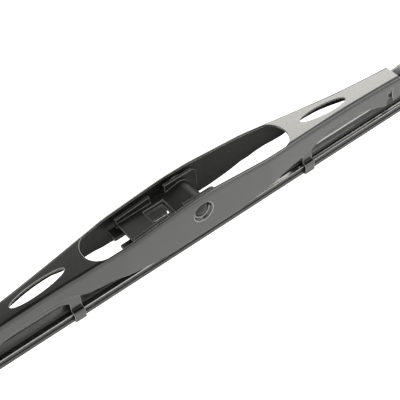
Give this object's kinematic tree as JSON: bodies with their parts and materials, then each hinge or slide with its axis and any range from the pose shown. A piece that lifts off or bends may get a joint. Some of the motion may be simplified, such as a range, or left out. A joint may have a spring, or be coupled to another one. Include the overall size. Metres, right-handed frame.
{
  "type": "windscreen wiper blade",
  "caption": "Conventional framed wiper blade: a pressed channel bridge with a turning arm adapter, rocking yokes with claws, and a rubber squeegee stiffened by sprung steel flexors.",
  "frame": {"origin": "on the axis of the arm rivet, midway between the bridge's walls", "axes": "+X along the blade, towards the end that the arm points away from; +Y across the blade, along the arm rivet; +Z away from the glass, so the wiping lip points to -Z"},
  "size_m": [0.38, 0.022, 0.0394],
  "materials": {
    "black_paint": "satin",
    "bare_steel": "satin",
    "black_plastic": "matte",
    "black_rubber": "matte"
  },
  "bodies": {
    "adapter": {"arm_adapter": "black_plastic"},
    "bridge": {"primary_bridge": "black_paint", "arm_rivet": "black_paint", "rivet_sleeve": "bare_steel", "squeegee_rubber": "black_rubber", "flexor_front": "bare_steel", "flexor_rear": "bare_steel"},
    "yoke_left": {"yoke_left": "black_paint", "pivot_pin_left": "bare_steel", "pivot_liner_left": "black_plastic"},
    "yoke_right": {"yoke_right": "black_paint", "pivot_pin_right": "bare_steel", "pivot_liner_right": "black_plastic"}
  },
  "joints": [
    {"name": "adapter_hinge", "type": "hinge", "parent": "adapter", "child": "bridge", "pos_m": [0, 0, 0], "axis": [0, 1, 0], "range_deg": [-200, 28]},
    {"name": "yoke_hinge_left", "type": "hinge", "parent": "bridge", "child": "yoke_left", "pos_m": [-0.115, 0, -0.0063], "axis": [0, 1, 0], "range_deg": [-6, 6], "stiffness_Nm_per_rad": 1.5, "deforming": ["squeegee_rubber", "flexor_front", "flexor_rear"]},
    {"name": "yoke_hinge_right", "type": "hinge", "parent": "bridge", "child": "yoke_right", "pos_m": [0.115, 0, -0.0063], "axis": [0, 1, 0], "range_deg": [-6, 6], "stiffness_Nm_per_rad": 1.5, "deforming": ["squeegee_rubber", "flexor_front", "flexor_rear"]}
  ]
}
